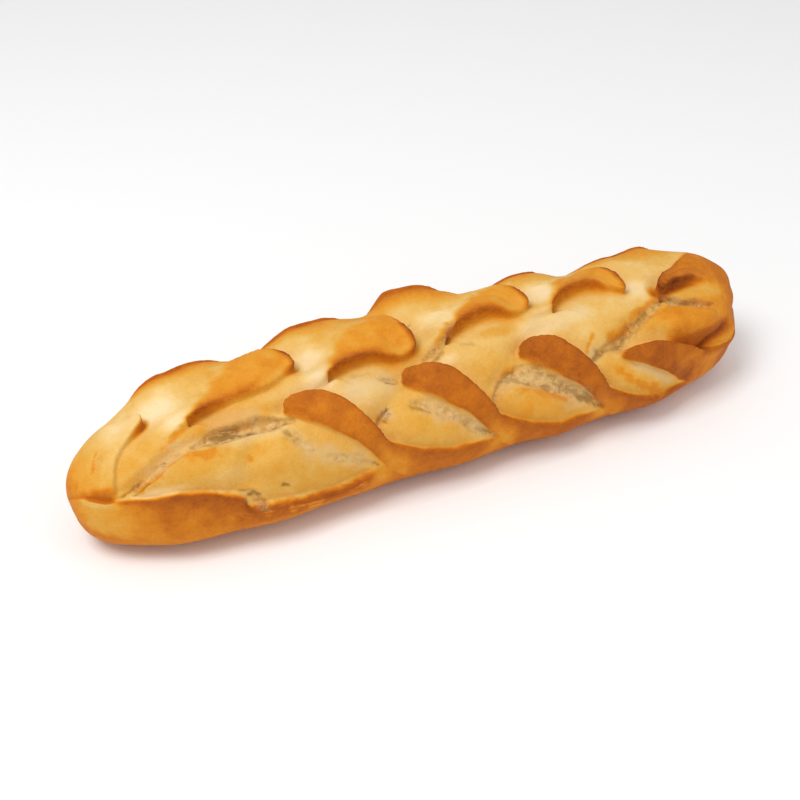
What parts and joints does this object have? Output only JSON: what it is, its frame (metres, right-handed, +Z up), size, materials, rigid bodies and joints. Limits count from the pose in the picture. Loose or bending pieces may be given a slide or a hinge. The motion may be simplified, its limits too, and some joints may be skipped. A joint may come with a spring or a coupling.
{
  "type": "white bread loaf",
  "caption": "Long white bread loaf with blunt round ends, baked with a lattice of slanting cuts that open between raised scales of browned crust.",
  "frame": {"origin": "middle of the flat underside that the loaf rests on", "axes": "+X along the loaf toward the end that the crust scales point to, +Y toward its back, +Z up"},
  "size_m": [0.3258, 0.089, 0.0626],
  "materials": {
    "crust": "dry baked crust, matte to soft sheen: orange-brown on the raised scales and sides, cream where the cuts opened"
  },
  "bodies": {
    "root": {"loaf": "crust"}
  },
  "joints": []
}
